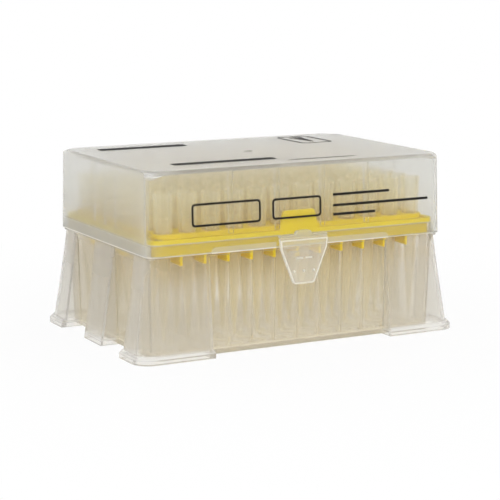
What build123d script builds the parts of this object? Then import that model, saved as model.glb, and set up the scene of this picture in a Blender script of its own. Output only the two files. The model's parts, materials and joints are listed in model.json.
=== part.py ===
"""Hinged box of filter pipette tips on the microplate footprint.

A translucent base stands on six hollow feet and holds a coloured deck. The deck carries
ninety-six tips on the nine-millimetre grid, each with its filter plug. A translucent lid
swings on two pinned hinges at the back, and a latch tab hangs on the front of the lid.

Millimetres, +Z up, +X along the length, front towards -Y. The origin is the centre of the
footprint on the surface that the box stands on.
"""

import os

from build123d import *

os.makedirs("parts", exist_ok=True)

# ---------------------------------------------------------------- tip grid
COLUMNS = 12
ROWS = 8
PITCH = 9.0

# ---------------------------------------------------------------- footprint and feet
FOOT_LENGTH = 127.76
FOOT_WIDTH = 85.48
FOOT_CORNER = 6.5
FOOT_RIM = 1.7  # height of the upright edge round each corner foot
FOOT_BEVEL = 1.2  # the slope from that edge in to the leg, as high as it is deep
FOOT_OVERHANG = 0.2  # how far a foot's edge stands past its leg along the wall
LEG_SPAN_LONG = 70.6  # clear span between the corner legs on a long side
LEG_SPAN_SHORT = 52.8  # clear span between the corner legs on a short side
MIDDLE_FOOT = 15.0  # width of the foot in the middle of each short side
LEG_WALL = 1.2
LEG_FLARE_ENDS = 4.85  # how far the legs lean out at the two ends, from the shoulder to the floor
LEG_FLARE_SIDES = 3.1  # how far they lean out along the sides
LEG_KNEE_HEIGHT = 19.1  # the legs lean out faster below this height
LEG_KNEE_SHARE = 0.42  # the share of their lean that they have down to it

# ---------------------------------------------------------------- base tub
SHOULDER_BAND = 0.9  # height of the ledge that the lid's rim rests on
LIP_HEIGHT = 4.0  # the tub's wall above that ledge, which the deck rests on
LIP_GAP_ENDS = 0.85  # from the lip to the lid's wall at the two ends
LIP_GAP_SIDES = 0.9  # from the lip to the lid's wall along the sides
TUB_CORNER = 3.6
TUB_WALL = 1.25
TUB_TAPER = 0.9  # the tub's wall leans in by this much down to the floor
FLOOR = 1.3
RING_OUTER = 3.3  # raised ring on the floor under each tip
RING_WIDTH = 0.6
RING_HEIGHT = 0.7
WALL_RIB = 0.9

# ---------------------------------------------------------------- lid
LID_OVERHANG_ENDS = 0.67  # how far the lid stands past the legs at the shoulder
LID_OVERHANG_SIDES = 1.26
LID_HEADROOM = 7.2  # from the tips' rims up to the roof
LID_CORNER = 4.0
LID_WALL = 1.1
LID_ROOF = 1.4
LID_DRAFT_ENDS = 0.35
LID_DRAFT_SIDES = 1.0
LID_EDGE_ROUND = 0.5  # round of the top edge
LID_CAP_ROUND = 3.0  # the four top corners are rounded off as by a block with this round,
LID_CAP_REACH = 3.3  # whose sides stand this far outside the lid
LID_CAP_CORNER = 14.1
LID_RIB_WIDTH = 1.7
LID_RIB_DEPTH = 0.8
LID_RIB_RISE = 6.2  # from the lid's rim up to where its ribs start
SEAT = 0.4  # width of the shoulder's ledge under the lid's rim
GRIP_HEIGHT = 2.1  # grip band along the rim, between the legs
GRIP_DEPTH = 0.35
GRIP_ROUND = 1.9  # round of the band's upper corner by the leg
GRIP_GAP = 1.0  # from the latch's side to the band
LID_RIB_SPACING = 18.0
END_RIB_SPACING = 9.0

# ---------------------------------------------------------------- rear hinge
HINGE_RISE = 2.2  # from the shoulder up to the pin's axis
HINGE_OFFSET = 2.4  # from the lid's outer wall at its rim to the pin's axis
HINGE_SPACING = 44.0
KNUCKLE_RADIUS = 1.75
KNUCKLE_WIDTH = 8.0
EAR_WIDTH = 2.0
EAR_GAP = 0.3
PIN_RADIUS = 0.8
PIN_CLEARANCE = 0.05
EAR_ROOT = 4.0  # height of the ears' root on the tub's wall

# ---------------------------------------------------------------- latch
LATCH_WIDTH = 18.7
LATCH_SHOULDER_WIDTH = 18.2
LATCH_SHOULDER_DROP = 3.2  # from the latch's axis down to where its sides turn inwards
LATCH_FOOT_WIDTH = 8.0
LATCH_DROP = 15.7  # from the latch's axis down to its lower edge
LATCH_CORNER = 1.3
LATCH_SHOULDER_ROUND = 2.6
LATCH_PLATE = 1.0
LATCH_RISE = 2.5  # from the shoulder up to the latch's axis
LATCH_BEAD = 0.6  # radius of the rolled top edge
LATCH_STANDOFF = 0.5  # from the lid's wall at its rim to the latch's plate
LATCH_RIM = 0.45
LATCH_RIM_PROUD = 0.3
LATCH_DOT = 0.5
LATCH_DOT_PITCH = 3.9
LATCH_DOT_DROP = 11.2
LATCH_RIDGE = 2.6
LATCH_RIDGE_PITCH = 3.6
LATCH_RIDGE_DROP = 6.6
HINGE_BAR = 0.7  # height of the lid's bar over the latch
HINGE_BAR_GAP = 0.2
BOSS_WIDTH = 6.2
BOSS_RISE = 1.5
BOSS_ROUND = 1.2
CATCH_WIDTH = 8.0
CATCH_HEIGHT = 1.6
CATCH_DROP = 4.6  # from the latch's axis down to the catch's top
CATCH_GAP = 0.4

# ---------------------------------------------------------------- deck
DECK_CLEARANCE = 0.2  # round everything that sits inside the lip
DECK_FLANGE = 1.4
DECK_PLATE = 1.5
DECK_FLANGE_INSET = 0.3  # the flange's edge lies this far inside the lip's outer face
DECK_HOLE_CLEARANCE = 0.25
DECK_MARGIN = 0.85  # from the outer tips' shoulders to the plate's edge
DECK_CORNER = 4.0
SKIRT_WALL = 0.6
SKIRT_DEPTH = 4.6
SKIRT_GAP = 0.1  # the least room between the skirt and the tips beside it
RIB_WALL = 0.9
RIB_DEPTH = 5.4  # of the grid of ribs between columns and rows
TOOTH_DEPTH = 7.9  # the ribs between columns hang lower at the long sides
RIB_GAP = 0.3  # from those teeth down to the ribs on the tub's wall
LOBE_RADIUS = 9.5
LOBE_DROP = 7.2
LOBE_OFFSET = 12.5
TAB_TOP_WIDTH = 12.4
TAB_FOOT_WIDTH = 16.0
TAB_WALL = 0.75
TAB_RISE = 8.2
TAB_CORNER = 1.2
TAB_INSET = 0.15  # from the flange's edge in to the tab's face

# ---------------------------------------------------------------- tips and filters
TIP_LENGTH = 51.0
TIP_CLEARANCE = 3.0  # from the rings on the floor up to the tips' points
TIP_HEAD = 13.4  # from the deck up to the tips' rims
BODY_RADIUS = 2.65
HEAD_STEP = 0.4  # the step at which a tip's head rests on the deck
RIM_STEP = 0.25
RIM_HEIGHT = 1.8
WAIST_DROP = 31.0  # from the rim down to where the body starts to narrow faster
WAIST_RADIUS = 1.95
NECK_DROP = 44.0
NECK_RADIUS = 0.95
POINT_RADIUS = 0.42
TIP_WALL = 0.5
POINT_BORE = 0.18
FINS = 8
FIN_WIDTH = 0.5
FIN_PROUD = 0.25
FIN_LENGTH = 8.6
FILTER_DROP = 8.6
FILTER_LENGTH = 4.6
FILTER_GAP = 0.02

# ---------------------------------------------------------------- worked-out places
HEAD_RADIUS = BODY_RADIUS + HEAD_STEP
RIM_RADIUS = HEAD_RADIUS + RIM_STEP
TIP_POINT = FLOOR + RING_HEIGHT + TIP_CLEARANCE
TIP_TOP = TIP_POINT + TIP_LENGTH
FILTER_TOP = TIP_TOP - FILTER_DROP
DECK_TOP = TIP_TOP - TIP_HEAD
PLATE_FOOT = DECK_TOP - DECK_PLATE
LIP_TOP = PLATE_FOOT - DECK_FLANGE
SHOULDER_HEIGHT = LIP_TOP - LIP_HEIGHT
LID_TOP = TIP_TOP + LID_HEADROOM + LID_ROOF
LID_RIB_FOOT = SHOULDER_HEIGHT + LID_RIB_RISE
HINGE_HEIGHT = SHOULDER_HEIGHT + HINGE_RISE
LATCH_AXIS_HEIGHT = SHOULDER_HEIGHT + LATCH_RISE
LEG_FOOT_LENGTH = FOOT_LENGTH - 2 * FOOT_BEVEL
LEG_FOOT_WIDTH = FOOT_WIDTH - 2 * FOOT_BEVEL
LID_LENGTH = LEG_FOOT_LENGTH - 2 * LEG_FLARE_ENDS + 2 * LID_OVERHANG_ENDS
LID_WIDTH = LEG_FOOT_WIDTH - 2 * LEG_FLARE_SIDES + 2 * LID_OVERHANG_SIDES
LID_INNER_LENGTH = LID_LENGTH - 2 * LID_WALL
LID_INNER_WIDTH = LID_WIDTH - 2 * LID_WALL
TUB_LENGTH = LID_INNER_LENGTH - 2 * LIP_GAP_ENDS
TUB_WIDTH = LID_INNER_WIDTH - 2 * LIP_GAP_SIDES
GRID_X = PITCH * (COLUMNS - 1) / 2
GRID_Y = PITCH * (ROWS - 1) / 2
HINGE_Y = LID_WIDTH / 2 + HINGE_OFFSET
LATCH_BACK = LID_WIDTH / 2 + LATCH_STANDOFF
LATCH_FRONT = LATCH_BACK + LATCH_PLATE
LATCH_AXIS_Y = -(LATCH_BACK + LATCH_FRONT) / 2
TALL = 2 * LID_TOP  # longer than anything that is cut


def lid_draw(height):
    """How far up the lid's draft a height is, from 0 at the rim to 1 at the top."""
    return (height - SHOULDER_HEIGHT) / (LID_TOP - SHOULDER_HEIGHT)


def lid_half_width(height):
    """Half the lid's outer width at a height: its long sides draw in towards the top."""
    return LID_WIDTH / 2 - LID_DRAFT_SIDES * lid_draw(height)


def lid_half_length(height):
    """Half the lid's outer length at a height."""
    return LID_LENGTH / 2 - LID_DRAFT_ENDS * lid_draw(height)


def tub_half_width(height):
    """Half the tub's outer width at a height below the shoulder."""
    return TUB_WIDTH / 2 - TUB_TAPER * (1 - height / SHOULDER_HEIGHT)


def bore_radius(height):
    """The radius inside a tip's head, which tapers from the rim to the deck."""
    share = (height - DECK_TOP) / (TIP_TOP - DECK_TOP)
    return BODY_RADIUS - TIP_WALL + (RIM_RADIUS - BODY_RADIUS) * share


# ================================================================ base
LEG_LEVELS = ((0.0, 1.0), (LEG_KNEE_HEIGHT, LEG_KNEE_SHARE), (SHOULDER_HEIGHT, 0.0))
NOTCH_WIDTH = (LEG_SPAN_SHORT - MIDDLE_FOOT) / 2
NOTCH_Y = (LEG_SPAN_SHORT + MIDDLE_FOOT) / 4


def leg_section(height, share, inset):
    """One level of the flared skirt that the legs are cut from, with its share of the whole lean."""
    with BuildSketch(Plane.XY.offset(height)) as section:
        RectangleRounded(
            LEG_FOOT_LENGTH - 2 * LEG_FLARE_ENDS * (1 - share) - 2 * inset,
            LEG_FOOT_WIDTH - 2 * LEG_FLARE_SIDES * (1 - share) - 2 * inset,
            FOOT_CORNER - FOOT_BEVEL - inset,
        )
    return section.sketch


def tub_section(height, taper, inset):
    """One level of the tub, drawn in by its taper and by the wall where it is the inside."""
    with BuildSketch(Plane.XY.offset(height)) as section:
        RectangleRounded(
            TUB_LENGTH - 2 * taper - 2 * inset, TUB_WIDTH - 2 * taper - 2 * inset, TUB_CORNER - inset
        )
    return section.sketch


with BuildPart() as tub_outside:
    loft([tub_section(0, TUB_TAPER, 0), tub_section(SHOULDER_HEIGHT, 0, 0)])
    extrude(tub_section(SHOULDER_HEIGHT, 0, 0), amount=LIP_HEIGHT)

with BuildPart() as tub_inside:
    loft([tub_section(FLOOR, TUB_TAPER, TUB_WALL), tub_section(SHOULDER_HEIGHT, 0, TUB_WALL)])
    extrude(tub_section(SHOULDER_HEIGHT, 0, TUB_WALL), amount=LIP_HEIGHT)

with BuildPart() as legs_outside:
    loft([leg_section(height, share, 0) for height, share in LEG_LEVELS])
    Box(LEG_SPAN_LONG, TALL, TALL, mode=Mode.SUBTRACT)
    with Locations((0, NOTCH_Y, 0), (0, -NOTCH_Y, 0)):
        Box(TALL * 2, NOTCH_WIDTH, TALL, mode=Mode.SUBTRACT)

with BuildPart() as legs_inside:
    loft([leg_section(height, share, LEG_WALL) for height, share in LEG_LEVELS])
    Box(LEG_SPAN_LONG + 2 * LEG_WALL, TALL, TALL, mode=Mode.SUBTRACT)
    with Locations((0, NOTCH_Y, 0), (0, -NOTCH_Y, 0)):
        Box(TALL * 2, NOTCH_WIDTH + 2 * LEG_WALL, TALL, mode=Mode.SUBTRACT)
    add(tub_outside.part, mode=Mode.SUBTRACT)

with BuildPart() as feet:
    with BuildSketch(Plane.XY):
        RectangleRounded(FOOT_LENGTH, FOOT_WIDTH, FOOT_CORNER)
    extrude(amount=FOOT_RIM)
    with BuildSketch(Plane.XY.offset(FOOT_RIM)):
        RectangleRounded(FOOT_LENGTH, FOOT_WIDTH, FOOT_CORNER)
    extrude(amount=FOOT_BEVEL, taper=45)
    Box(LEG_SPAN_LONG - 2 * FOOT_OVERHANG, TALL, TALL, mode=Mode.SUBTRACT)
    Box(TALL * 2, LEG_SPAN_SHORT - 2 * FOOT_OVERHANG, TALL, mode=Mode.SUBTRACT)

with BuildPart() as wall_ribs:
    wall_rib_top = LIP_TOP - TOOTH_DEPTH - RIB_GAP
    with BuildSketch(Plane.YZ):
        Polygon(
            (tub_half_width(FLOOR) - TUB_WALL - WALL_RIB, FLOOR / 2),
            (tub_half_width(FLOOR) - TUB_WALL / 2, FLOOR / 2),
            (tub_half_width(wall_rib_top) - TUB_WALL / 2, wall_rib_top),
            (tub_half_width(wall_rib_top) - TUB_WALL - WALL_RIB, wall_rib_top),
            align=None,
        )
    extrude(amount=WALL_RIB / 2, both=True)
    mirror(about=Plane.XZ)

with BuildPart() as hinge_ears:
    root_top = SHOULDER_HEIGHT - SHOULDER_BAND
    root_inner = tub_half_width(root_top) - TUB_WALL / 2
    with BuildSketch(Plane.YZ) as ear:
        with Locations((HINGE_Y, HINGE_HEIGHT)):
            Circle(KNUCKLE_RADIUS)
            Rectangle(
                2 * KNUCKLE_RADIUS, HINGE_HEIGHT - root_top + EAR_ROOT, align=(Align.CENTER, Align.MAX)
            )
        with Locations((root_inner, root_top)):
            Rectangle(HINGE_Y - root_inner, EAR_ROOT, align=(Align.MIN, Align.MAX))
    for side in (-1, 1):
        extrude(
            ear.sketch.moved(Location((side * (KNUCKLE_WIDTH / 2 + EAR_GAP), 0, 0))),
            amount=EAR_WIDTH,
            dir=(side, 0, 0),
        )
    with Locations(Location((0, HINGE_Y, HINGE_HEIGHT), (0, 90, 0))):
        Cylinder(PIN_RADIUS, KNUCKLE_WIDTH + 2 * EAR_GAP + EAR_WIDTH)

with BuildPart() as catch:
    catch_top = LATCH_AXIS_HEIGHT - CATCH_DROP
    catch_inner = tub_half_width(catch_top) - TUB_WALL / 2
    with Locations((0, -catch_inner, catch_top)):
        Box(
            CATCH_WIDTH,
            LATCH_BACK - CATCH_GAP - catch_inner,
            CATCH_HEIGHT,
            align=(Align.CENTER, Align.MAX, Align.MAX),
        )
    fillet(catch.faces().sort_by(Axis.Y)[0].edges().filter_by(Axis.X), CATCH_HEIGHT / 3)

with BuildPart() as base:
    add(tub_outside.part)
    add(legs_outside.part)
    add(feet.part)
    add(legs_inside.part, mode=Mode.SUBTRACT)
    # ledge for the lid's rim
    with BuildSketch(Plane.XY.offset(SHOULDER_HEIGHT - SHOULDER_BAND)):
        RectangleRounded(
            LID_INNER_LENGTH + 2 * SEAT, LID_INNER_WIDTH + 2 * SEAT, LID_CORNER - LID_WALL + SEAT
        )
    extrude(amount=SHOULDER_BAND)
    add(tub_inside.part, mode=Mode.SUBTRACT)
    # rings on the floor, one round the point of each tip
    with BuildSketch(Plane.XY.offset(FLOOR)):
        with GridLocations(PITCH, PITCH, COLUMNS, ROWS):
            Circle(RING_OUTER)
            Circle(RING_OUTER - RING_WIDTH, mode=Mode.SUBTRACT)
    extrude(amount=RING_HEIGHT)
    # upright ribs inside the long walls, between the columns
    with GridLocations(PITCH, 0, 2 * int(LEG_SPAN_LONG / 2 / PITCH) + 1, 1):
        add(wall_ribs.part)
    with GridLocations(HINGE_SPACING, 0, 2, 1):
        add(hinge_ears.part)
    add(catch.part)

base.part.label = "base"
export_step(base.part, "parts/base.step")

# ================================================================ lid


def lid_section(height, inset):
    """One level of the lid, outside or, with its wall as the inset, inside."""
    with BuildSketch(Plane.XY.offset(height)) as section:
        RectangleRounded(
            2 * lid_half_length(height) - 2 * inset,
            2 * lid_half_width(height) - 2 * inset,
            LID_CORNER - inset,
        )
    return section.sketch


def lid_cap(inset, top):
    """The block that rounds off the lid's top corners, on a plain one that clears the walls below."""
    cap_foot = top - 2 * LID_CAP_ROUND
    with BuildPart() as cap:
        with BuildSketch(Plane.XY.offset(cap_foot)):
            RectangleRounded(
                2 * (lid_half_length(LID_TOP) + LID_CAP_REACH - inset),
                2 * (lid_half_width(LID_TOP) + LID_CAP_REACH - inset),
                LID_CAP_CORNER - inset,
            )
        extrude(amount=top - cap_foot)
        fillet(cap.faces().sort_by(Axis.Z)[-1].edges(), LID_CAP_ROUND)
        Box(2 * TALL, 2 * TALL, cap_foot, align=(Align.CENTER, Align.CENTER, Align.MIN))
    return cap.part


with BuildPart() as lid_inside:
    loft([lid_section(SHOULDER_HEIGHT, LID_WALL), lid_section(LID_TOP - LID_ROOF, LID_WALL)])
    add(lid_cap(LID_WALL, LID_TOP - LID_ROOF), mode=Mode.INTERSECT)

lid_rib_top = LID_TOP - LID_ROOF / 2

with BuildPart() as lid_rib:
    with BuildSketch(Plane.YZ):
        Polygon(
            (lid_half_width(LID_RIB_FOOT) - LID_WALL - LID_RIB_DEPTH, LID_RIB_FOOT),
            (lid_half_width(LID_RIB_FOOT) - LID_WALL / 2, LID_RIB_FOOT),
            (lid_half_width(lid_rib_top) - LID_WALL / 2, lid_rib_top),
            (lid_half_width(lid_rib_top) - LID_WALL - LID_RIB_DEPTH, lid_rib_top),
            align=None,
        )
    extrude(amount=LID_RIB_WIDTH / 2, both=True)
    mirror(about=Plane.XZ)

with BuildPart() as end_rib:
    with BuildSketch(Plane.XZ):
        Polygon(
            (lid_half_length(LID_RIB_FOOT) - LID_WALL - LID_RIB_DEPTH, LID_RIB_FOOT),
            (lid_half_length(LID_RIB_FOOT) - LID_WALL / 2, LID_RIB_FOOT),
            (lid_half_length(lid_rib_top) - LID_WALL / 2, lid_rib_top),
            (lid_half_length(lid_rib_top) - LID_WALL - LID_RIB_DEPTH, lid_rib_top),
            align=None,
        )
    extrude(amount=LID_RIB_WIDTH / 2, both=True)
    mirror(about=Plane.YZ)

with BuildPart() as knuckle:
    with BuildSketch(Plane.YZ):
        with Locations((HINGE_Y, HINGE_HEIGHT)):
            Circle(KNUCKLE_RADIUS)
            Rectangle(
                HINGE_Y - lid_half_width(HINGE_HEIGHT) + LID_WALL / 2,
                KNUCKLE_RADIUS,
                align=(Align.MAX, Align.CENTER),
            )
            Circle(PIN_RADIUS + PIN_CLEARANCE, mode=Mode.SUBTRACT)
    extrude(amount=KNUCKLE_WIDTH / 2, both=True)

BAR_FOOT = LATCH_AXIS_HEIGHT + LATCH_BEAD + HINGE_BAR_GAP
BAR_ROOT = lid_half_width(BAR_FOOT + HINGE_BAR + BOSS_RISE) - LID_WALL / 2

with BuildPart() as latch_mount:
    with BuildSketch(Plane.XZ.offset(BAR_ROOT)):
        with Locations((0, BAR_FOOT)):
            Rectangle(LATCH_WIDTH, HINGE_BAR, align=(Align.CENTER, Align.MIN))
    extrude(amount=LATCH_FRONT - BAR_ROOT)
    with BuildSketch(Plane.XZ.offset(BAR_ROOT)) as boss:
        with Locations((0, BAR_FOOT)):
            Rectangle(BOSS_WIDTH, HINGE_BAR + BOSS_RISE, align=(Align.CENTER, Align.MIN))
        fillet(boss.vertices().group_by(Axis.Y)[-1], BOSS_ROUND)
    extrude(amount=LATCH_FRONT - BAR_ROOT)

GRIP_START = LATCH_WIDTH / 2 + GRIP_GAP
GRIP_LENGTH = LEG_SPAN_LONG / 2 - GRIP_START

with BuildPart() as grip_band:
    grip_root = LID_WIDTH / 2 - LID_WALL / 2
    with BuildSketch(Plane.XZ.offset(grip_root)) as band:
        with Locations((GRIP_START, SHOULDER_HEIGHT)):
            Rectangle(GRIP_LENGTH, GRIP_HEIGHT, align=(Align.MIN, Align.MIN))
        fillet(band.vertices().group_by(Axis.Y)[-1].sort_by(Axis.X)[-1], GRIP_ROUND)
    extrude(amount=LID_WALL / 2 + GRIP_DEPTH)
    mirror(about=Plane.YZ)

with BuildPart() as lid:
    loft([lid_section(SHOULDER_HEIGHT, 0), lid_section(LID_TOP, 0)])
    fillet(lid.faces().sort_by(Axis.Z)[-1].edges(), LID_EDGE_ROUND)
    add(lid_cap(0, LID_TOP), mode=Mode.INTERSECT)
    add(lid_inside.part, mode=Mode.SUBTRACT)
    with GridLocations(LID_RIB_SPACING, 0, 4, 1):
        add(lid_rib.part)
    with GridLocations(0, END_RIB_SPACING, 1, 3):
        add(end_rib.part)
    with GridLocations(HINGE_SPACING, 0, 2, 1):
        add(knuckle.part)
    add(latch_mount.part)
    add(grip_band.part)

lid.part.label = "lid"
export_step(lid.part, "parts/lid.step")

# ================================================================ latch
with BuildSketch(Plane.XZ) as latch_outline:
    Polygon(
        (-LATCH_WIDTH / 2, LATCH_AXIS_HEIGHT),
        (-LATCH_SHOULDER_WIDTH / 2, LATCH_AXIS_HEIGHT - LATCH_SHOULDER_DROP),
        (-LATCH_FOOT_WIDTH / 2, LATCH_AXIS_HEIGHT - LATCH_DROP),
        (LATCH_FOOT_WIDTH / 2, LATCH_AXIS_HEIGHT - LATCH_DROP),
        (LATCH_SHOULDER_WIDTH / 2, LATCH_AXIS_HEIGHT - LATCH_SHOULDER_DROP),
        (LATCH_WIDTH / 2, LATCH_AXIS_HEIGHT),
        align=None,
    )
    fillet(latch_outline.vertices().group_by(Axis.Y)[1], LATCH_SHOULDER_ROUND)
    fillet(latch_outline.vertices().group_by(Axis.Y)[0], LATCH_CORNER)

with BuildPart() as latch:
    extrude(latch_outline.sketch.moved(Location((0, -LATCH_BACK, 0))), amount=LATCH_PLATE)
    with Locations(Location((0, LATCH_AXIS_Y, LATCH_AXIS_HEIGHT), (0, 90, 0))):
        Cylinder(LATCH_BEAD, LATCH_WIDTH)
    # raised rim round the edge
    with BuildSketch(Plane.XZ.offset(LATCH_FRONT)):
        add(latch_outline.sketch_local)
        offset(amount=-LATCH_RIM, mode=Mode.SUBTRACT)
    extrude(amount=LATCH_RIM_PROUD)
    # grip dots and the two ridges over them
    with Locations((0, -LATCH_FRONT, LATCH_AXIS_HEIGHT - LATCH_DOT_DROP)):
        with GridLocations(LATCH_DOT_PITCH, 0, 3, 1):
            Sphere(LATCH_DOT)
    with Locations((0, -LATCH_FRONT, LATCH_AXIS_HEIGHT - LATCH_RIDGE_DROP)):
        with GridLocations(LATCH_RIDGE_PITCH, 0, 2, 1):
            Box(LATCH_RIDGE, 2 * LATCH_RIM_PROUD, LATCH_RIM)

latch.part.label = "latch"
export_step(latch.part, "parts/latch.step")

# ================================================================ deck
SKIRT_LENGTH = TUB_LENGTH - 2 * TUB_WALL - 2 * DECK_CLEARANCE
SKIRT_WIDTH = TUB_WIDTH - 2 * TUB_WALL - 2 * DECK_CLEARANCE
SKIRT_CORNER = TUB_CORNER - TUB_WALL - DECK_CLEARANCE
TAB_BACK = TUB_WIDTH / 2 - DECK_FLANGE_INSET - TAB_INSET - TAB_WALL

with BuildPart() as lobes:
    with BuildSketch(Plane.YZ.offset(SKIRT_LENGTH / 2)):
        with Locations((LOBE_OFFSET, LIP_TOP - LOBE_DROP + LOBE_RADIUS)):
            Circle(LOBE_RADIUS)
        with Locations((0, LIP_TOP)):
            Rectangle(TALL, TALL, align=(Align.CENTER, Align.MIN), mode=Mode.SUBTRACT)
    extrude(amount=-SKIRT_WALL)
    mirror(about=Plane.XZ)
    mirror(about=Plane.YZ)

with BuildPart() as deck:
    # flange on the lip, and the raised plate inside it
    with BuildSketch(Plane.XY.offset(LIP_TOP)):
        RectangleRounded(
            TUB_LENGTH - 2 * DECK_FLANGE_INSET,
            TUB_WIDTH - 2 * DECK_FLANGE_INSET,
            TUB_CORNER - DECK_FLANGE_INSET,
        )
    extrude(amount=DECK_FLANGE)
    with BuildSketch(Plane.XY.offset(PLATE_FOOT)):
        RectangleRounded(
            2 * (GRID_X + HEAD_RADIUS + DECK_MARGIN),
            2 * (GRID_Y + HEAD_RADIUS + DECK_MARGIN),
            DECK_CORNER,
        )
    extrude(amount=DECK_PLATE)
    # skirt inside the lip, open underneath
    with BuildSketch(Plane.XY.offset(LIP_TOP - SKIRT_DEPTH)):
        RectangleRounded(SKIRT_LENGTH, SKIRT_WIDTH, SKIRT_CORNER)
    extrude(amount=SKIRT_DEPTH)
    with BuildSketch(Plane.XY.offset(LIP_TOP - SKIRT_DEPTH)):
        RectangleRounded(
            SKIRT_LENGTH - 2 * SKIRT_WALL, SKIRT_WIDTH - 2 * SKIRT_WALL, SKIRT_CORNER - SKIRT_WALL
        )
    extrude(amount=SKIRT_DEPTH + DECK_FLANGE, mode=Mode.SUBTRACT)
    with BuildSketch(Plane.XY.offset(LIP_TOP - SKIRT_DEPTH)):
        with GridLocations(PITCH, PITCH, COLUMNS, ROWS):
            Circle(BODY_RADIUS + SKIRT_GAP)
    extrude(amount=SKIRT_DEPTH, mode=Mode.SUBTRACT)
    add(lobes.part)
    # grid of ribs under the plate, between the tips
    with BuildSketch(Plane.XY.offset(LIP_TOP - RIB_DEPTH)):
        with GridLocations(PITCH, 0, COLUMNS - 1, 1):
            Rectangle(RIB_WALL, SKIRT_WIDTH - SKIRT_WALL)
        with GridLocations(0, PITCH, 1, ROWS - 1):
            Rectangle(SKIRT_LENGTH - SKIRT_WALL, RIB_WALL)
    extrude(amount=RIB_DEPTH + DECK_FLANGE)
    # teeth, from the long sides in to the first rib along the length
    with BuildSketch(Plane.XY.offset(LIP_TOP - TOOTH_DEPTH)):
        with GridLocations(PITCH, 0, COLUMNS - 1, 1):
            Rectangle(RIB_WALL, SKIRT_WIDTH - SKIRT_WALL)
            Rectangle(RIB_WALL, PITCH * (ROWS - 2), mode=Mode.SUBTRACT)
    extrude(amount=TOOTH_DEPTH)
    # finger tab
    with BuildSketch(Plane.XZ.offset(TAB_BACK)) as tab:
        Polygon(
            (-TAB_FOOT_WIDTH / 2, LIP_TOP),
            (TAB_FOOT_WIDTH / 2, LIP_TOP),
            (TAB_TOP_WIDTH / 2, LIP_TOP + TAB_RISE),
            (-TAB_TOP_WIDTH / 2, LIP_TOP + TAB_RISE),
            align=None,
        )
        fillet(tab.vertices().group_by(Axis.Y)[-1], TAB_CORNER)
    extrude(amount=TAB_WALL)
    with BuildSketch(Plane.XY.offset(LIP_TOP)):
        with GridLocations(PITCH, PITCH, COLUMNS, ROWS):
            Circle(BODY_RADIUS + DECK_HOLE_CLEARANCE)
    extrude(amount=DECK_FLANGE + DECK_PLATE, mode=Mode.SUBTRACT)

deck.part.label = "deck"
export_step(deck.part, "parts/deck.step")

# ================================================================ tips and filters
with BuildPart() as tip:
    with BuildSketch(Plane.XZ):
        Polygon(
            (POINT_RADIUS, TIP_POINT),
            (NECK_RADIUS, TIP_TOP - NECK_DROP),
            (WAIST_RADIUS, TIP_TOP - WAIST_DROP),
            (BODY_RADIUS, DECK_TOP),
            (HEAD_RADIUS, DECK_TOP),
            (HEAD_RADIUS, TIP_TOP - RIM_HEIGHT),
            (RIM_RADIUS, TIP_TOP - RIM_HEIGHT),
            (RIM_RADIUS, TIP_TOP),
            (bore_radius(TIP_TOP), TIP_TOP),
            (bore_radius(DECK_TOP), DECK_TOP),
            (WAIST_RADIUS - TIP_WALL, TIP_TOP - WAIST_DROP),
            (NECK_RADIUS - TIP_WALL, TIP_TOP - NECK_DROP),
            (POINT_BORE, TIP_POINT),
            align=None,
        )
    revolve(axis=Axis.Z)
    # grip fins under the rim
    with Locations((0, 0, TIP_TOP - RIM_HEIGHT)):
        with PolarLocations(HEAD_RADIUS - TIP_WALL / 2, FINS):
            Box(TIP_WALL / 2 + FIN_PROUD, FIN_WIDTH, FIN_LENGTH, align=(Align.MIN, Align.CENTER, Align.MAX))

with BuildPart() as filter_plug:
    with BuildSketch(Plane.XZ):
        Polygon(
            (0, FILTER_TOP),
            (0, FILTER_TOP - FILTER_LENGTH),
            (bore_radius(FILTER_TOP - FILTER_LENGTH) - FILTER_GAP, FILTER_TOP - FILTER_LENGTH),
            (bore_radius(FILTER_TOP) - FILTER_GAP, FILTER_TOP),
            align=None,
        )
    revolve(axis=Axis.Z)

for column in range(COLUMNS):
    column_x = PITCH * column - GRID_X
    for name, piece in (("tips", tip), ("filters", filter_plug)):
        with BuildPart() as group:
            with Locations((column_x, 0, 0)):
                with GridLocations(0, PITCH, 1, ROWS):
                    add(piece.part)
        group.part.label = f"{name}_column_{column + 1:02d}"
        export_step(group.part, f"parts/{group.part.label}.step")
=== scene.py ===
"""Dresses the hinged box of pipette tips: frosted mouldings, clear tips, yellow deck and print.

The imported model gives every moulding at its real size. This script gives each its finish, adds
the ink on the lid and the small marks that moulding leaves, and sets the studio round them.
Lengths are metres, +X along the box, the front towards -Y, +Z up.
"""

import json
import logging
import math
from dataclasses import dataclass, replace
from enum import Enum

import bmesh
import bpy
from mathutils import Matrix, Vector


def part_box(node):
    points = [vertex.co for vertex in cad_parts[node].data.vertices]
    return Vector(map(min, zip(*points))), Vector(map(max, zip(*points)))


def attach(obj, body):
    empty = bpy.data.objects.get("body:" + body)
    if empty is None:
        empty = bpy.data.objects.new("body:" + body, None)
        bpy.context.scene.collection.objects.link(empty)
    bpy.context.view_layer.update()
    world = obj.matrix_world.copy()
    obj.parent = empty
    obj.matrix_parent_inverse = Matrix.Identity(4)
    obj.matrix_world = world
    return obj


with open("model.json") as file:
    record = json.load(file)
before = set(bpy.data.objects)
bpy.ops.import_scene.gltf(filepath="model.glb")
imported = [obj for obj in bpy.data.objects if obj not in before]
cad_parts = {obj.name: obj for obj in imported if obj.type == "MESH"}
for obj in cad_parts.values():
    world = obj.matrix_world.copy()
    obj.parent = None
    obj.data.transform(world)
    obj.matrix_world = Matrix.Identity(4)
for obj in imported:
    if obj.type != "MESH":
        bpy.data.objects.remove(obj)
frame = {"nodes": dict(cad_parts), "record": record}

LOG = logging.getLogger("tip_box")
MM = 0.001
FADE = 0.2 * MM
EDGE_BLEND = 0.3
CLOUD_DETAIL = 3.0
FLAT = 0.9

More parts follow.
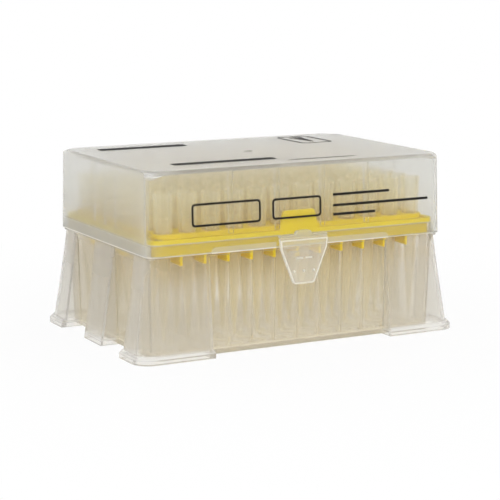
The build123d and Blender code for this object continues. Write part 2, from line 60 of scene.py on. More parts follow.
Colour = tuple[float, float, float]
Place = tuple[float, float, float]
Socket = bpy.types.NodeSocket


class Shader(Enum):
    """The shader nodes that the finishes are built from."""

    PRINCIPLED = "ShaderNodeBsdfPrincipled"
    TRANSPARENT = "ShaderNodeBsdfTransparent"
    TRANSLUCENT = "ShaderNodeBsdfTranslucent"
    EMISSION = "ShaderNodeEmission"
    MIX = "ShaderNodeMixShader"


class NodeBench:
    """A material's node tree while it is being wired."""

    def __init__(self, name: str) -> None:
        """Starts an empty material.

        Args:
            name: The material's name.
        """
        self.material = bpy.data.materials.new(name)
        self.material.use_nodes = True
        self.tree = self.material.node_tree
        self.tree.nodes.clear()
        self.output = self.tree.nodes.new("ShaderNodeOutputMaterial")
        self.object_place = self.tree.nodes.new("ShaderNodeTexCoord").outputs["Object"]

    def plug(self, value: object, socket: Socket) -> None:
        """Feeds an input.

        Args:
            value: A socket, which is linked, or a plain value, which is set.
            socket: The input.
        """
        if isinstance(value, bpy.types.NodeSocket):
            self.tree.links.new(value, socket)
        else:
            socket.default_value = value

    def add(self, kind: str, **values: object) -> bpy.types.Node:
        """Adds a node and sets its sockets.

        Args:
            kind: The node's type.
            **values: Socket names, with underscores for spaces, and a number, colour or socket for each.

        Returns:
            The new node.
        """
        node = self.tree.nodes.new(kind)
        for key, value in values.items():
            self.plug(value, node.inputs[key.replace("_", " ")])
        return node

    def noise(self, size: float, detail: float = 2.0) -> Socket:
        """Adds a noise pattern.

        Args:
            size: How wide its features are, in metres.
            detail: How many finer levels it has.

        Returns:
            The noise from 0 to 1.
        """
        node = self.add("ShaderNodeTexNoise", Vector=self.object_place, Scale=1 / size, Detail=detail)
        return node.outputs["Fac"]

    def along(self, axis: str) -> Socket:
        """Reads one object coordinate.

        Args:
            axis: X, Y or Z.

        Returns:
            The coordinate in metres.
        """
        return self.add("ShaderNodeSeparateXYZ", Vector=self.object_place).outputs[axis]

    def span(self, value: Socket, low: float, high: float, start: float = 0.0, end: float = 1.0) -> Socket:
        """Maps a value from start..end onto low..high.

        Args:
            value: What is mapped.
            low: The result at start.
            high: The result at end.
            start: The value that gives low.
            end: The value that gives high.

        Returns:
            The mapped value.
        """
        node = self.add(
            "ShaderNodeMapRange", Value=value, From_Min=start, From_Max=end, To_Min=low, To_Max=high
        )
        return node.outputs["Result"]

    def math(self, operation: str, first: Socket, second: Socket | float) -> Socket:
        """Adds a sum on two values.

        Args:
            operation: The Math node's operation.
            first: The first value.
            second: The second value.

        Returns:
            The result.
        """
        node = self.tree.nodes.new("ShaderNodeMath")
        node.operation = operation
        self.plug(first, node.inputs[0])
        self.plug(second, node.inputs[1])
        return node.outputs[0]

    def bump(self, height: Socket, depth: float, strength: float = 1.0) -> Socket:
        """Adds a bump.

        Args:
            height: The pattern, from 0 to 1.
            depth: How deep the pattern is, in metres.
            strength: How much of it shows.

        Returns:
            The bent normal.
        """
        node = self.add("ShaderNodeBump", Height=height, Distance=depth, Strength=strength)
        return node.outputs["Normal"]

    def blend(self, share: Socket, low: Colour | Socket, high: Colour | Socket) -> Socket:
        """Mixes two colours.

        Args:
            share: How much of the second colour there is.
            low: The first colour, plain or wired.
            high: The second colour, plain or wired.

        Returns:
            The mixed colour.
        """
        node = self.tree.nodes.new("ShaderNodeMix")
        node.data_type = "RGBA"
        self.plug(share, node.inputs["Factor"])
        ends = [socket for socket in node.inputs if socket.type == "RGBA"]
        for colour, end in zip((low, high), ends):
            self.plug(colour if isinstance(colour, bpy.types.NodeSocket) else (*colour, 1), end)
        return next(socket for socket in node.outputs if socket.type == "RGBA")

    def mix(self, share: Socket | float, first: bpy.types.Node, second: bpy.types.Node) -> bpy.types.Node:
        """Mixes two shaders.

        Args:
            share: How much of the second shader there is.
            first: The first shader node.
            second: The second shader node.

        Returns:
            The Mix Shader node.
        """
        node = self.tree.nodes.new(Shader.MIX.value)
        self.plug(share, node.inputs[0])
        self.tree.links.new(first.outputs[0], node.inputs[1])
        self.tree.links.new(second.outputs[0], node.inputs[2])
        return node

    def finish(self, surface: bpy.types.Node) -> bpy.types.Material:
        """Wires the last shader to the output.

        Args:
            surface: The last shader node.

        Returns:
            The material.
        """
        self.tree.links.new(surface.outputs[0], self.output.inputs["Surface"])
        return self.material


@dataclass(frozen=True)
class MilkAndPaintedLightStretch:
    """A stretch of a moulding with more milk, where the plastic looks milkier, and in some stretches as
    painted light. The milk grows from start to full along one axis.

    It ends at stop on the same axis, and keeps within a pair of heights, where they are given.
    """

    axis: str
    start: float
    full: float
    milk: float
    stop: float | None = None
    both_sides: bool = False
    heights: tuple[float, float] | None = None
    fade: float = FADE

    def wire(self, bench: NodeBench) -> Socket:
        """Wires the milk that the stretch adds.

        Args:
            bench: The material's node tree.

        Returns:
            The added share.
        """
        place = bench.along(self.axis)
        if self.both_sides:
            place = bench.math("ABSOLUTE", place, 0.0)
        more = bench.span(place, 0.0, self.milk, self.start, self.full)
        if self.stop is not None:
            kept = bench.span(place, 1.0, 0.0, self.stop, self.stop + self.fade)
            more = bench.math("MULTIPLY", more, kept)
        if self.heights is not None:
            low, high = self.heights
            rise = bench.along("Z")
            more = bench.math("MULTIPLY", more, bench.span(rise, 0.0, 1.0, low - self.fade, low))
            more = bench.math("MULTIPLY", more, bench.span(rise, 1.0, 0.0, high, high + self.fade))
        return more


@dataclass(frozen=True)
class FrostedPlastic:
    """Milky see-through plastic: it blurs what stands behind it and lets the lamps' light in.

    The milk is the share of the wall that hides what is behind. The chalk is the share of the milk that
    shines back, and the rest of the milk glows with the light from behind. Inside the core the milk is
    painted warmer, standing in for the yellow light of the deck and tips, and outside it, such as on the
    legs, there is more milk.
    """

    name: str
    tint: Colour
    lamp_tint: Colour
    milk_dark: Colour
    milk_light: Colour
    milk: float
    milk_edge: float
    chalk: float
    chalk_gain: float
    roughness: float
    ior: float
    shine: float
    cloud_size: float
    grain_size: float
    grain_depth: float
    milk_and_painted_light_stretches: tuple[MilkAndPaintedLightStretch, ...]
    milk_roughness: float = 0.5
    milk_gloss: float = 0.2
    # Warmer milk colours inside the core: painted light from the yellow deck and tips.
    core: tuple[float, float] | None = None
    core_painted_warm_dark: Colour | None = None
    core_painted_warm_light: Colour | None = None
    shell_milk: float = 0.0

    def milk_and_painted_light_share(self, bench: NodeBench) -> Socket:
        """Wires the milk that the stretches add at a point, some of it painted light.

        Args:
            bench: The material's node tree.

        Returns:
            The added share.
        """
        share, *others = [place.wire(bench) for place in self.milk_and_painted_light_stretches]
        for other in others:
            share = bench.math("ADD", share, other)
        return share

    def milk_share(self, bench: NodeBench, stretch_milk_and_light: Socket) -> Socket:
        """Wires how much milk shows at a point.

        Args:
            bench: The material's node tree.
            stretch_milk_and_light: The milk that the stretches add, some of it painted light.

        Returns:
            The share, which is more towards a wall seen edge on and in each stretch.
        """
        facing = bench.add("ShaderNodeLayerWeight", Blend=EDGE_BLEND).outputs["Facing"]
        share = bench.math("ADD", bench.span(facing, self.milk, self.milk_edge), stretch_milk_and_light)
        if self.core:
            shell = bench.math("MULTIPLY", self.outside_core(bench), self.shell_milk)
            share = bench.math("ADD", share, shell)
        return share

    def outside_core(self, bench: NodeBench) -> Socket:
        """Wires whether a point lies outside the core, such as on the legs round the tub.

        Args:
            bench: The material's node tree.

        Returns:
            One outside the core, nought inside it.
        """
        sides = []
        for axis, reach in zip("XY", self.core):
            away = bench.math("ABSOLUTE", bench.along(axis), 0.0)
            sides.append(bench.span(away, 0.0, 1.0, reach, reach + FADE))
        return bench.math("MAXIMUM", *sides)

    def build(self) -> bpy.types.Material:
        """Builds the material.

        Returns:
            The material.
        """
        bench = NodeBench(self.name)
        clouds = bench.noise(self.cloud_size, CLOUD_DETAIL)
        grain = bench.bump(bench.noise(self.grain_size), self.grain_depth)
        blur = bench.add(
            Shader.PRINCIPLED.value,
            Base_Color=(*self.tint, 1),
            Roughness=self.roughness,
            IOR=self.ior,
            Specular_Tint=(*[self.shine] * 3, 1),
            Transmission_Weight=1.0,
            Normal=grain,
        )
        colour = bench.blend(clouds, self.milk_dark, self.milk_light)
        # Painted light: the milk inside the tub's reach is warmer, for the yellow light of the deck and
        # tips.
        if self.core:
            painted_warmth = bench.blend(clouds, self.core_painted_warm_dark, self.core_painted_warm_light)
            colour = bench.blend(self.outside_core(bench), painted_warmth, colour)
        through = bench.add(Shader.TRANSLUCENT.value, Color=colour, Normal=grain)
        back = bench.add(
            Shader.PRINCIPLED.value,
            Base_Color=colour,
            Roughness=self.milk_roughness,
            Specular_IOR_Level=self.milk_gloss,
            Normal=grain,
        )
        # More milk and chalk where the stretches lie; in some of them this is painted light.
        stretch_milk_and_light = self.milk_and_painted_light_share(bench)
        chalk = bench.math("ADD", bench.math("MULTIPLY", stretch_milk_and_light, self.chalk_gain), self.chalk)
        wall = bench.mix(self.milk_share(bench, stretch_milk_and_light), blur, bench.mix(chalk, through, back))
        open_way = bench.add(Shader.TRANSPARENT.value, Color=(*self.lamp_tint, 1))
        lamp_ray = bench.add("ShaderNodeLightPath").outputs["Is Shadow Ray"]
        return bench.finish(bench.mix(lamp_ray, wall, open_way))


@dataclass(frozen=True)
class ClearPlastic:
    """Natural plastic, clear where it is seen square on and milky towards its edges."""

    name: str
    dark: Colour
    light: Colour
    cover: float
    edge_cover: float
    glow: float
    roughness: float
    mottle_size: float
    grain_size: float
    grain_depth: float
    grain_strength: float = 0.5

    def build(self) -> bpy.types.Material:
        """Builds the material.

        Returns:
            The material.
        """
        bench = NodeBench(self.name)
        colour = bench.blend(bench.noise(self.mottle_size, CLOUD_DETAIL), self.dark, self.light)
        grain = bench.bump(bench.noise(self.grain_size), self.grain_depth, self.grain_strength)
        skin = bench.add(Shader.PRINCIPLED.value, Base_Color=colour, Roughness=self.roughness, Normal=grain)
        glow = bench.add(Shader.TRANSLUCENT.value, Color=colour)
        facing = bench.add("ShaderNodeLayerWeight", Blend=EDGE_BLEND).outputs["Facing"]
        clear = bench.add(Shader.TRANSPARENT.value)
        wall = bench.span(facing, self.cover, self.edge_cover)
        return bench.finish(bench.mix(wall, clear, bench.mix(self.glow, skin, glow)))


@dataclass(frozen=True)
class GlowingPlastic:
    """Coloured plastic that glows with the light that passes through it, with a faint mottle."""

    name: str
    dark: Colour
    light: Colour
    glow: float
    gloss: float
    roughness: float
    mottle_size: float
    grain_size: float
    grain_depth: float
    grain_strength: float = 0.5

    def build(self) -> bpy.types.Material:
        """Builds the material.

        Returns:
            The material.
        """
        bench = NodeBench(self.name)
        colour = bench.blend(bench.noise(self.mottle_size, CLOUD_DETAIL), self.dark, self.light)
        grain = bench.bump(bench.noise(self.grain_size), self.grain_depth, self.grain_strength)
        skin = bench.add(
            Shader.PRINCIPLED.value,
            Base_Color=colour,
            Roughness=self.roughness,
            Specular_IOR_Level=self.gloss,
            Normal=grain,
        )
        glow = bench.add(Shader.TRANSLUCENT.value, Color=colour)
        return bench.finish(bench.mix(self.glow, skin, glow))


# Where the walls stand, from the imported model.
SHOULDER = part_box("lid")[0][2]
LIP_TOP = SHOULDER + 4.0 * MM
LATCH_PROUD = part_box("latch")[0][1]
LID_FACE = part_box("latch")[1][1] + 0.4 * MM
LID_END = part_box("lid")[1][0]
END_WALL = (LID_END - 1.6 * MM, LID_END - 1.2 * MM)
TUB_REACH = tuple(half + 0.4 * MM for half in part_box("deck")[1][:2])

# Where the mouldings get more milk: some stretches look milkier, and some are painted light.
LID_RIM = MilkAndPaintedLightStretch("Z", SHOULDER + 0.5 * MM, SHOULDER + 0.2 * MM, 0.45)
LID_GRIP_BAND = MilkAndPaintedLightStretch("Y", LID_FACE - 0.1 * MM, LID_FACE - 0.25 * MM, 0.35)
LID_END_WALLS = MilkAndPaintedLightStretch("X", *END_WALL, 0.12, both_sides=True)
# Painted light: a paler, chalkier veil on the lid's end skirts lifts the shade of the band enclosed behind
# them.
LID_END_SKIRTS_PAINTED_LIFT = MilkAndPaintedLightStretch("X", *END_WALL, 0.2, both_sides=True, heights=(SHOULDER, LIP_TOP))
TUB_LIP = MilkAndPaintedLightStretch("Z", LIP_TOP - 0.5 * MM, LIP_TOP - 0.3 * MM, 0.5)
TUB_LOWER_WALL = MilkAndPaintedLightStretch("Z", 31 * MM, 24 * MM, 0.08)
# Painted highlight: the floor rings' tops get more milk, so they read lighter than the floor between them.
FLOOR_RING_TOPS_PAINTED_HIGHLIGHT = MilkAndPaintedLightStretch("Z", 1.4 * MM, 1.9 * MM, 0.3, stop=2.1 * MM)
# Painted light: a paler, chalkier veil at the tub's upper ends lifts the shade that the lid's skirt and the
# deck throw inside.
TUB_UPPER_ENDS_PAINTED_LIFT = MilkAndPaintedLightStretch(
    "X", TUB_REACH[0] - 4 * MM, TUB_REACH[0], 0.2, both_sides=True, heights=(34 * MM, LIP_TOP), fade=12 * MM
)
# Painted highlight: the latch's proud rim gets thick pale milk, drawn as bright lines round its outline.
LATCH_RIM_PAINTED_HIGHLIGHT = MilkAndPaintedLightStretch("Y", LATCH_PROUD + 0.45 * MM, LATCH_PROUD + 0.3 * MM, 0.6)

LID_FROSTED = FrostedPlastic(
    name="frosted_natural",
    tint=(0.93, 0.935, 0.93),
    lamp_tint=(0.98, 0.98, 0.98),
    milk_dark=(0.78, 0.775, 0.74),
    milk_light=(0.84, 0.835, 0.80),
    milk=0.13,
    milk_edge=0.3,
    chalk=0.2,
    chalk_gain=0.7,
    roughness=0.2,
    ior=1.3,
    shine=0.2,
    cloud_size=6 * MM,
    grain_size=0.35 * MM,
    grain_depth=0.015 * MM,
    milk_and_painted_light_stretches=(LID_RIM, LID_GRIP_BAND, LID_END_WALLS, LID_END_SKIRTS_PAINTED_LIFT),
)
# The base's warmer tint and warmer core colours are painted light, for the yellow light of the deck and
# tips in the tub.
BASE_FROSTED = replace(
    LID_FROSTED,
    name="frosted_natural_base",
    tint=(0.955, 0.94, 0.905),
    milk_dark=(0.76, 0.74, 0.70),
    milk_light=(0.84, 0.82, 0.78),
    core=TUB_REACH,
    core_painted_warm_dark=(0.84, 0.78, 0.62),
    core_painted_warm_light=(0.92, 0.86, 0.70),
    milk=0.06,
    milk_edge=0.2,
    chalk=0.4,
    roughness=0.15,
    grain_depth=0.01 * MM,
    milk_and_painted_light_stretches=(TUB_LIP, TUB_LOWER_WALL, FLOOR_RING_TOPS_PAINTED_HIGHLIGHT, TUB_UPPER_ENDS_PAINTED_LIFT),
    shell_milk=0.07,
)
# The latch is paler than the lid: its clearer tint, near-white milk and higher chalk are painted light that
# lifts the shade of the band behind it.
LATCH_FROSTED = replace(
    LID_FROSTED,
    name="frosted_natural_latch",
    tint=(0.99, 0.985, 0.96),
    milk_dark=(0.95, 0.94, 0.90),
    milk_light=(0.99, 0.98, 0.94),
    milk=0.2,
    milk_edge=0.7,
    chalk=0.5,
    chalk_gain=0.0,
    milk_and_painted_light_stretches=(LATCH_RIM_PAINTED_HIGHLIGHT,),
)
# The tips' beige is partly the plastic's own tone and partly painted warm light from the yellow deck.
NATURAL_WITH_PAINTED_DECK_LIGHT = ClearPlastic(
    name="clear_natural",
    dark=(0.90, 0.84, 0.61),
    light=(0.95, 0.90, 0.70),
    cover=0.2,
    edge_cover=0.65,
    glow=0.65,
    roughness=0.25,
    mottle_size=3 * MM,
    grain_size=0.5 * MM,
    grain_depth=0.005 * MM,
)
DECK_YELLOW = GlowingPlastic(
    name="deck_yellow",
    dark=(0.88, 0.69, 0.0),
    light=(0.93, 0.75, 0.002),
    glow=0.25,
    gloss=0.15,
    roughness=0.32,
    mottle_size=8 * MM,
    grain_size=0.4 * MM,
    grain_depth=0.02 * MM,
)
FILTER_WHITE = ClearPlastic(
    name="filter_white",
    dark=(0.88, 0.82, 0.60),
    light=(0.93, 0.88, 0.68),
    cover=0.2,
    edge_cover=0.35,
    glow=0.7,
    roughness=0.85,
    mottle_size=0.5 * MM,
    grain_size=0.2 * MM,
    grain_depth=0.08 * MM,
)
SLOT_FINISHES = {
    "frosted_natural": LID_FROSTED,
    "yellow_deck": DECK_YELLOW,
    "clear_natural": NATURAL_WITH_PAINTED_DECK_LIGHT,
    "white_filter": FILTER_WHITE,
}
NODE_FINISHES = {"base": BASE_FROSTED, "latch": LATCH_FROSTED}


@dataclass(frozen=True)
class PrintInk:
    """Matt black ink that lies thinner in places."""

    name: str
    dark: Colour
    light: Colour
    roughness: float
    mottle_size: float
    mottle_detail: float
    mottle_from: float
    mottle_to: float
    gloss: float
    speck_size: float
    speck_depth: float
    speck_strength: float

    def build(self) -> bpy.types.Material:
        """Builds the material.

        Returns:
            The material.
        """
        bench = NodeBench(self.name)
        mottle = bench.noise(self.mottle_size, self.mottle_detail)
        thin = bench.span(mottle, 0.0, 1.0, self.mottle_from, self.mottle_to)
        skin = bench.add(
            Shader.PRINCIPLED.value,
            Base_Color=bench.blend(thin, self.dark, self.light),
            Roughness=self.roughness,
            Specular_IOR_Level=self.gloss,
            Normal=bench.bump(bench.noise(self.speck_size), self.speck_depth, self.speck_strength),
        )
        return bench.finish(skin)


INK = PrintInk(
    name="print_ink",
    dark=(0.008, 0.008, 0.008),
    light=(0.022, 0.021, 0.020),
    roughness=0.7,
    mottle_size=1.2 * MM,
    mottle_detail=4.0,
    mottle_from=0.35,
    mottle_to=0.7,
    gloss=0.15,
    speck_size=0.25 * MM,
    speck_depth=0.01 * MM,
    speck_strength=0.6,
)


class Mouldings:
    """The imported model's own nodes, each with the finish of its material slot."""

    def __init__(self) -> None:
        """Builds one material for each slot, and one for each node with its own look: the base painted
        warmer and the latch painted paler.
        """
        self.materials = {slot: finish.build() for slot, finish in SLOT_FINISHES.items()}
        self.own = {node: finish.build() for node, finish in NODE_FINISHES.items()}

    def dress(self) -> None:
        """Gives every node its material."""
        slots = {part["node"]: part["material_slot"] for part in frame["record"]["subparts"]}
        for node, piece in frame["nodes"].items():
            material = self.own.get(node, self.materials[slots[node]])
            if not piece.material_slots:
                piece.data.materials.append(material)
            for slot in piece.material_slots:
                slot.material = material
        LOG.info("dressed %d nodes", len(frame["nodes"]))


class Wall(Enum):
    """The lid's walls that carry print."""

    FRONT = "front"
    ROOF = "roof"


@dataclass(frozen=True)
class Field:
    """One printed field: its middle on its wall, its size, and the stroke where it is only an outline."""

    across: float
    up: float
    length: float
    height: float
    corner: float
    stroke: float = 0.0
    foot_share: float = 1.0


@dataclass
class LidPrint:
    """The black print on the lid: plain bars, lines and a simple picture of a tip.

    The front wall's slope is sighted at two heights over the rim.
    """

    wall: Wall
    fields: tuple[Field, ...]
    thickness: float = 0.05 * MM
    sunk: float = 0.02 * MM
    corner_segments: int = 6
    sights: tuple[float, float] = (12.0 * MM, 24.0 * MM)

    def plane(self) -> Matrix:
        """Finds the wall's plane from the lid itself.

        Returns:
            The plane's place: first axis along the box, second up the wall, third outwards.
        """
        low, high = (Vector(corner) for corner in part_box("lid"))
        if self.wall is Wall.ROOF:
            return Matrix.Translation((0, 0, high.z))
        lid = frame["nodes"]["lid"]
        points = []
        for rise in self.sights:
            met, place, _, _ = lid.ray_cast(Vector((0, 2 * low.y, low.z + rise)), Vector((0, 1, 0)))
            if not met:
                raise RuntimeError("no front wall on the lid")
            points.append(place)
        along = Vector((1, 0, 0))
        upwards = (points[1] - points[0]).normalized()
        outwards = along.cross(upwards)
        foot = points[0] - upwards * (self.sights[0] / upwards.z)
        axes = Matrix((along, upwards, outwards)).transposed().to_4x4()
        return Matrix.Translation(foot) @ axes

    def block(self, field: Field) -> bpy.types.Object:
        """Models one field, flat at the origin.

        Args:
            field: The field's place and size.

        Returns:
            The field, with rounded corners.
        """
        bpy.ops.object.select_all(action="DESELECT")
        bpy.ops.mesh.primitive_cube_add(
            size=1, location=(field.across, field.up, self.thickness / 2 - self.sunk)
        )
        block = bpy.context.object
        block.scale = (field.length, field.height, self.thickness)
        bpy.ops.object.transform_apply(location=True, rotation=True, scale=True)
        bpy.ops.object.mode_set(mode="EDIT")
        mesh = bmesh.from_edit_mesh(block.data)
        bpy.ops.mesh.select_all(action="DESELECT")
        bpy.ops.mesh.select_mode(type="VERT")
        for vertex in mesh.verts:
            vertex.select = vertex.co.y < field.up
        mesh.select_flush_mode()
        bmesh.update_edit_mesh(block.data)
        bpy.ops.transform.resize(value=(field.foot_share, 1, 1), center_override=(field.across, 0, 0))
        bpy.ops.mesh.select_mode(type="EDGE")
        bpy.ops.mesh.select_all(action="DESELECT")
        mesh = bmesh.from_edit_mesh(block.data)
        for edge in mesh.edges:
            edge.select = abs(edge.verts[0].co.z - edge.verts[1].co.z) > self.thickness / 2
        bmesh.update_edit_mesh(block.data)
        bpy.ops.mesh.bevel(offset=field.corner, segments=self.corner_segments, affect="EDGES")
        if field.stroke > 0:
            self.hollow(block, field.stroke)
        bpy.ops.object.mode_set(mode="OBJECT")
        return block

    def hollow(self, block: bpy.types.Object, stroke: float) -> None:
        """Cuts the middle out of a field in edit mode, so that an outline is left.

        Args:
            block: The field being shaped.
            stroke: The outline's width.
        """
        bpy.ops.mesh.select_mode(type="FACE")
        bpy.ops.mesh.select_all(action="DESELECT")
        mesh = bmesh.from_edit_mesh(block.data)
        mesh.faces.ensure_lookup_table()
        for face in mesh.faces:
            face.select = abs(face.normal.z) > FLAT
        bmesh.update_edit_mesh(block.data)
        bpy.ops.mesh.inset(thickness=stroke, use_even_offset=True)
        bpy.ops.mesh.bridge_edge_loops()

    def build(self, ink: bpy.types.Material) -> bpy.types.Object:
        """Models all the fields as one piece on the lid.

        Args:
            ink: The ink's material.

        Returns:
            The printed piece.
        """
        blocks = [self.block(field) for field in self.fields]
        bpy.ops.object.select_all(action="DESELECT")
        for block in blocks:
            block.select_set(True)
        bpy.context.view_layer.objects.active = blocks[0]
        bpy.ops.object.join()
        piece = bpy.context.object
        piece.name = f"print_{self.wall.value}"
        piece.matrix_world = self.plane()
        bpy.ops.object.transform_apply(location=True, rotation=True, scale=True)
        piece.data.materials.append(ink)
        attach(piece, "lid")
        LOG.info("%s: %d fields", piece.name, len(self.fields))
        return piece


WORD_FRAME = Field(
    across=-29.2 * MM, up=13.4 * MM, length=26.4 * MM, height=8.0 * MM, corner=1.4 * MM, stroke=0.75 * MM
)
FRONT_LINE = Field(across=24.3 * MM, up=16.9 * MM, length=23.2 * MM, height=0.9 * MM, corner=0.25 * MM)
FRONT_FIELDS = (
    WORD_FRAME,
    replace(WORD_FRAME, across=-1.8 * MM, length=19.5 * MM, height=7.4 * MM),
    FRONT_LINE,
    replace(FRONT_LINE, across=32.5 * MM, up=13.1 * MM, length=39.6 * MM),
    replace(FRONT_LINE, across=21.4 * MM, up=9.9 * MM, length=17.3 * MM),
)
PICTURE_FRAME = Field(
    across=36 * MM, up=22 * MM, length=14 * MM, height=22 * MM, corner=2.4 * MM, stroke=1.2 * MM
)
PICTURE_HEAD = Field(PICTURE_FRAME.across, up=28.5 * MM, length=5.6 * MM, height=2.6 * MM, corner=0.5 * MM)
PICTURE_TAPER = Field(
    PICTURE_FRAME.across, up=20.6 * MM, length=4.4 * MM, height=11.4 * MM, corner=0.15 * MM, foot_share=0.16
)
ROOF_FIELDS = (
    Field(across=-22 * MM, up=-23.5 * MM, length=40 * MM, height=4.8 * MM, corner=1.1 * MM),
    Field(across=13.5 * MM, up=-30.5 * MM, length=27 * MM, height=1.1 * MM, corner=0.3 * MM),
    Field(across=-30 * MM, up=27 * MM, length=35 * MM, height=5.4 * MM, corner=1.3 * MM),
    PICTURE_FRAME,
    PICTURE_HEAD,
    PICTURE_TAPER,
)


@dataclass
class GateMark:
    """The round stub that the runner leaves in the middle of the roof."""

    radius: float = 1.5 * MM
    proud: float = 0.25 * MM
    dish: float = 0.9 * MM
    dish_slope: float = 0.3 * MM
    dish_depth: float = 0.15 * MM
    rounding: float = 0.08 * MM
    rounding_segments: int = 3
    smooth_below: float = 40.0
    sunk: float = 0.1 * MM
    sides: int = 48

    def build(self, plastic: bpy.types.Material) -> bpy.types.Object:
        """Models the stub on the roof.

        Args:
            plastic: The lid's own material.

        Returns:
            The stub.
        """
        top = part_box("lid")[1][2]
        height = self.proud + self.sunk
        middle = (0, 0, top + height / 2 - self.sunk)
        bpy.ops.object.select_all(action="DESELECT")
        bpy.ops.mesh.primitive_cylinder_add(
            vertices=self.sides, radius=self.radius, depth=height, location=middle
        )
        piece = bpy.context.object
        piece.name = "gate_mark"
        bpy.ops.object.transform_apply(location=True)
        bpy.ops.object.mode_set(mode="EDIT")
        bpy.ops.mesh.select_mode(type="FACE")
        bpy.ops.mesh.select_all(action="DESELECT")
        mesh = bmesh.from_edit_mesh(piece.data)
        for face in mesh.faces:
            face.select = face.normal.z > FLAT
        bmesh.update_edit_mesh(piece.data)
        bpy.ops.mesh.inset(thickness=self.radius - self.dish)
        bpy.ops.mesh.inset(thickness=self.dish_slope)
        bpy.ops.transform.translate(value=(0, 0, -self.dish_depth))
        bpy.ops.object.mode_set(mode="OBJECT")
        rounding = piece.modifiers.new("rounding", "BEVEL")
        rounding.width = self.rounding
        rounding.segments = self.rounding_segments
        bpy.ops.object.modifier_apply(modifier=rounding.name)
        bpy.ops.object.shade_smooth_by_angle(angle=math.radians(self.smooth_below))
        piece.data.materials.append(plastic)
        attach(piece, "lid")
        LOG.info("%s on the roof", piece.name)
        return piece


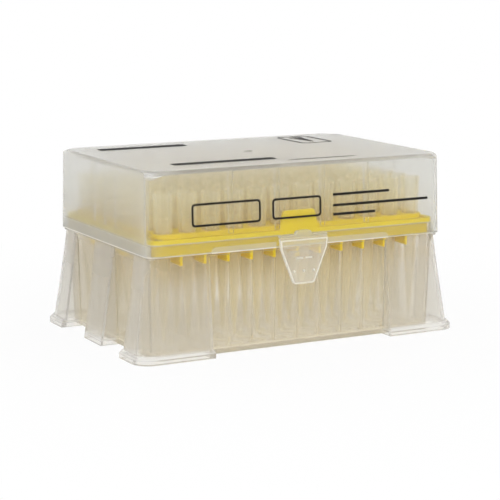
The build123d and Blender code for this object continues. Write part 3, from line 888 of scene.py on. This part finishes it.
@dataclass
class Studio:
    """A pale floor, a white surround and soft lamps."""

    floor_radius: float = 6.0
    floor_sides: int = 96
    floor_drop: float = 0.02 * MM
    floor_colour: float = 0.86
    floor_roughness: float = 0.9
    white_share: float = 0.92
    white_from: float = 0.08
    white_to: float = 0.2
    surround: float = 0.85
    surround_colour: Colour = (0.97, 0.985, 1.0)
    key_place: Place = (-0.5, -0.95, 0.6)
    key_power: float = 3.8
    fill_place: Place = (0.8, -0.8, 0.45)
    fill_power: float = 1.6
    lamp_size: float = 0.7
    bounces: int = 24
    diffuse_bounces: int = 8
    see_through_bounces: int = 96

    def floor(self) -> bpy.types.Object:
        """Lays the floor.

        Returns:
            The floor, which turns white away from the box.
        """
        bpy.ops.object.select_all(action="DESELECT")
        bpy.ops.mesh.primitive_circle_add(
            vertices=self.floor_sides,
            radius=self.floor_radius,
            fill_type="NGON",
            location=(0, 0, -self.floor_drop),
        )
        floor = bpy.context.object
        floor.name = "studio_floor"
        bpy.ops.object.transform_apply(location=True)
        bench = NodeBench("studio_floor")
        length = bench.tree.nodes.new("ShaderNodeVectorMath")
        length.operation = "LENGTH"
        bench.tree.links.new(bench.object_place, length.inputs[0])
        away = bench.span(
            length.outputs["Value"], self.white_share, 1.0, self.white_from, self.white_to
        )
        path = bench.add("ShaderNodeLightPath").outputs
        straight = bench.math("MAXIMUM", path["Is Camera Ray"], path["Is Glossy Ray"])
        seen = bench.math("MAXIMUM", straight, path["Is Transmission Ray"])
        share = bench.math("MULTIPLY", away, seen)
        grey = (*[self.floor_colour] * 3, 1)
        card = bench.add(Shader.PRINCIPLED.value, Base_Color=grey, Roughness=self.floor_roughness)
        white = bench.add(Shader.EMISSION.value, Color=(1, 1, 1, 1), Strength=1.0)
        floor.data.materials.append(bench.finish(bench.mix(share, card, white)))
        return floor

    def world(self) -> None:
        """Sets the white surround: full white where it is seen, lower where it lights the box."""
        world = bpy.data.worlds.new("studio_surround")
        bpy.context.scene.world = world
        world.use_nodes = True
        tree = world.node_tree
        tree.nodes.clear()
        path = tree.nodes.new("ShaderNodeLightPath")
        seen = tree.nodes.new("ShaderNodeBackground")
        seen.inputs["Color"].default_value = (1, 1, 1, 1)
        light = tree.nodes.new("ShaderNodeBackground")
        light.inputs["Color"].default_value = (*self.surround_colour, 1)
        light.inputs["Strength"].default_value = self.surround
        straight, any_seen = (tree.nodes.new("ShaderNodeMath") for _ in range(2))
        straight.operation = any_seen.operation = "MAXIMUM"
        tree.links.new(path.outputs["Is Camera Ray"], straight.inputs[0])
        tree.links.new(path.outputs["Is Glossy Ray"], straight.inputs[1])
        tree.links.new(straight.outputs[0], any_seen.inputs[0])
        tree.links.new(path.outputs["Is Transmission Ray"], any_seen.inputs[1])
        mix = tree.nodes.new("ShaderNodeMixShader")
        tree.links.new(any_seen.outputs[0], mix.inputs[0])
        tree.links.new(light.outputs[0], mix.inputs[1])
        tree.links.new(seen.outputs[0], mix.inputs[2])
        output = tree.nodes.new("ShaderNodeOutputWorld")
        tree.links.new(mix.outputs[0], output.inputs["Surface"])

    def lamp(self, name: str, place: Place, power: float) -> None:
        """Hangs one soft lamp that looks at the box.

        Args:
            name: The lamp's name.
            place: Where it hangs.
            power: Its power in watts.
        """
        data = bpy.data.lights.new(name, "AREA")
        data.shape = "DISK"
        data.size = self.lamp_size
        data.energy = power
        lamp = bpy.data.objects.new(name, data)
        bpy.context.collection.objects.link(lamp)
        lamp.location = place
        lamp.rotation_euler = (-Vector(place)).to_track_quat("-Z", "Y").to_euler()

    def build(self) -> None:
        """Builds the whole studio."""
        self.floor()
        self.world()
        self.lamp("key_lamp", self.key_place, self.key_power)
        self.lamp("fill_lamp", self.fill_place, self.fill_power)
        scene = bpy.context.scene
        scene.view_settings.view_transform = "Standard"
        scene.cycles.max_bounces = self.bounces
        scene.cycles.transmission_bounces = self.bounces
        scene.cycles.diffuse_bounces = self.diffuse_bounces
        scene.cycles.transparent_max_bounces = self.see_through_bounces
        LOG.info("studio ready")


@dataclass
class Camera:
    """The camera, which looks down on the box from its front left, with its angles in degrees."""

    azimuth: float = -28.02
    elevation: float = 10.13
    distance: float = 0.62864
    lens: float = 122.79
    sensor: float = 36.0
    far_clip: float = 50.0
    aim_height: float = 27.78 * MM
    aim_right: float = 0.60 * MM

    def build(self) -> bpy.types.Object:
        """Places the camera.

        Returns:
            The scene's camera.
        """
        turn, lift = math.radians(self.azimuth), math.radians(self.elevation)
        level = math.cos(lift)
        back = Vector((math.sin(turn) * level, -math.cos(turn) * level, math.sin(lift)))
        right = Vector((math.cos(turn), math.sin(turn), 0))
        data = bpy.data.cameras.new("camera")
        data.lens = self.lens
        data.sensor_width = self.sensor
        data.clip_end = self.far_clip
        camera = bpy.data.objects.new("camera", data)
        bpy.context.collection.objects.link(camera)
        aim = Vector((0, 0, self.aim_height)) + right * self.aim_right
        camera.location = aim + back * self.distance
        camera.rotation_euler = back.to_track_quat("Z", "Y").to_euler()
        bpy.context.scene.camera = camera
        LOG.info("camera at %s", tuple(round(value, 4) for value in camera.location))
        return camera


def main() -> None:
    logging.basicConfig(level=logging.INFO, format="%(name)s: %(message)s")
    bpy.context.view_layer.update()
    mouldings = Mouldings()
    mouldings.dress()
    ink = INK.build()
    LidPrint(Wall.FRONT, FRONT_FIELDS).build(ink)
    LidPrint(Wall.ROOF, ROOF_FIELDS).build(ink)
    GateMark().build(mouldings.materials["frosted_natural"])
    Studio().build()
    Camera().build()


if __name__ == "__main__":
    main()
